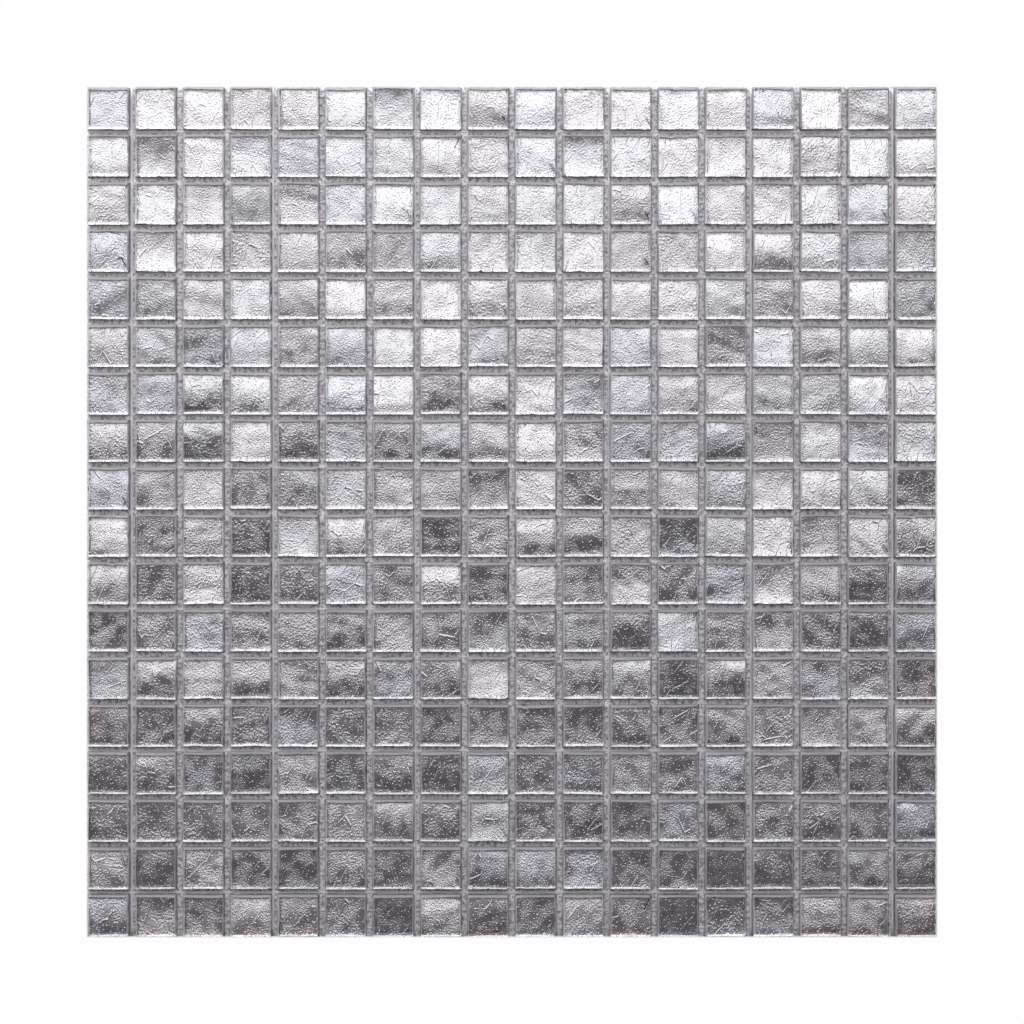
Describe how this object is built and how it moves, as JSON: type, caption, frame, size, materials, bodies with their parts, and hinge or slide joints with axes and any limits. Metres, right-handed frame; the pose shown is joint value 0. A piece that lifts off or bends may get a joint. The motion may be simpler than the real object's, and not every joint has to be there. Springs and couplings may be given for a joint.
{
  "type": "mosaic tile sheet",
  "caption": "Flat square sheet of small square glass mosaic tiles with silver leaf on their backs and rounded arrises, evenly jointed on a glass-fibre net.",
  "frame": {"origin": "centre of the sheet's underside, on the net", "axes": "+Z out of the tiles' polished faces, +X along the tile rows, +Y across them"},
  "size_m": [0.2998, 0.2998, 0.0043],
  "materials": {
    "clear_glass": "clear, fire-polished face and ground arris",
    "silver_leaf": "crinkled silver leaf under lacquer",
    "glass_fibre": "resin-coated glass-fibre yarn"
  },
  "bodies": {
    "root": {"tile_row_01": "clear_glass", "tile_row_02": "clear_glass", "tile_row_03": "clear_glass", "tile_row_04": "clear_glass", "tile_row_05": "clear_glass", "tile_row_06": "clear_glass", "tile_row_07": "clear_glass", "tile_row_08": "clear_glass", "tile_row_09": "clear_glass", "tile_row_10": "clear_glass", "tile_row_11": "clear_glass", "tile_row_12": "clear_glass", "tile_row_13": "clear_glass", "tile_row_14": "clear_glass", "tile_row_15": "clear_glass", "tile_row_16": "clear_glass", "tile_row_17": "clear_glass", "tile_row_18": "clear_glass", "leaf_row_01": "silver_leaf", "leaf_row_02": "silver_leaf", "leaf_row_03": "silver_leaf", "leaf_row_04": "silver_leaf", "leaf_row_05": "silver_leaf", "leaf_row_06": "silver_leaf", "leaf_row_07": "silver_leaf", "leaf_row_08": "silver_leaf", "leaf_row_09": "silver_leaf", "leaf_row_10": "silver_leaf", "leaf_row_11": "silver_leaf", "leaf_row_12": "silver_leaf", "leaf_row_13": "silver_leaf", "leaf_row_14": "silver_leaf", "leaf_row_15": "silver_leaf", "leaf_row_16": "silver_leaf", "leaf_row_17": "silver_leaf", "leaf_row_18": "silver_leaf", "net_warp": "glass_fibre", "net_weft": "glass_fibre"}
  },
  "joints": []
}
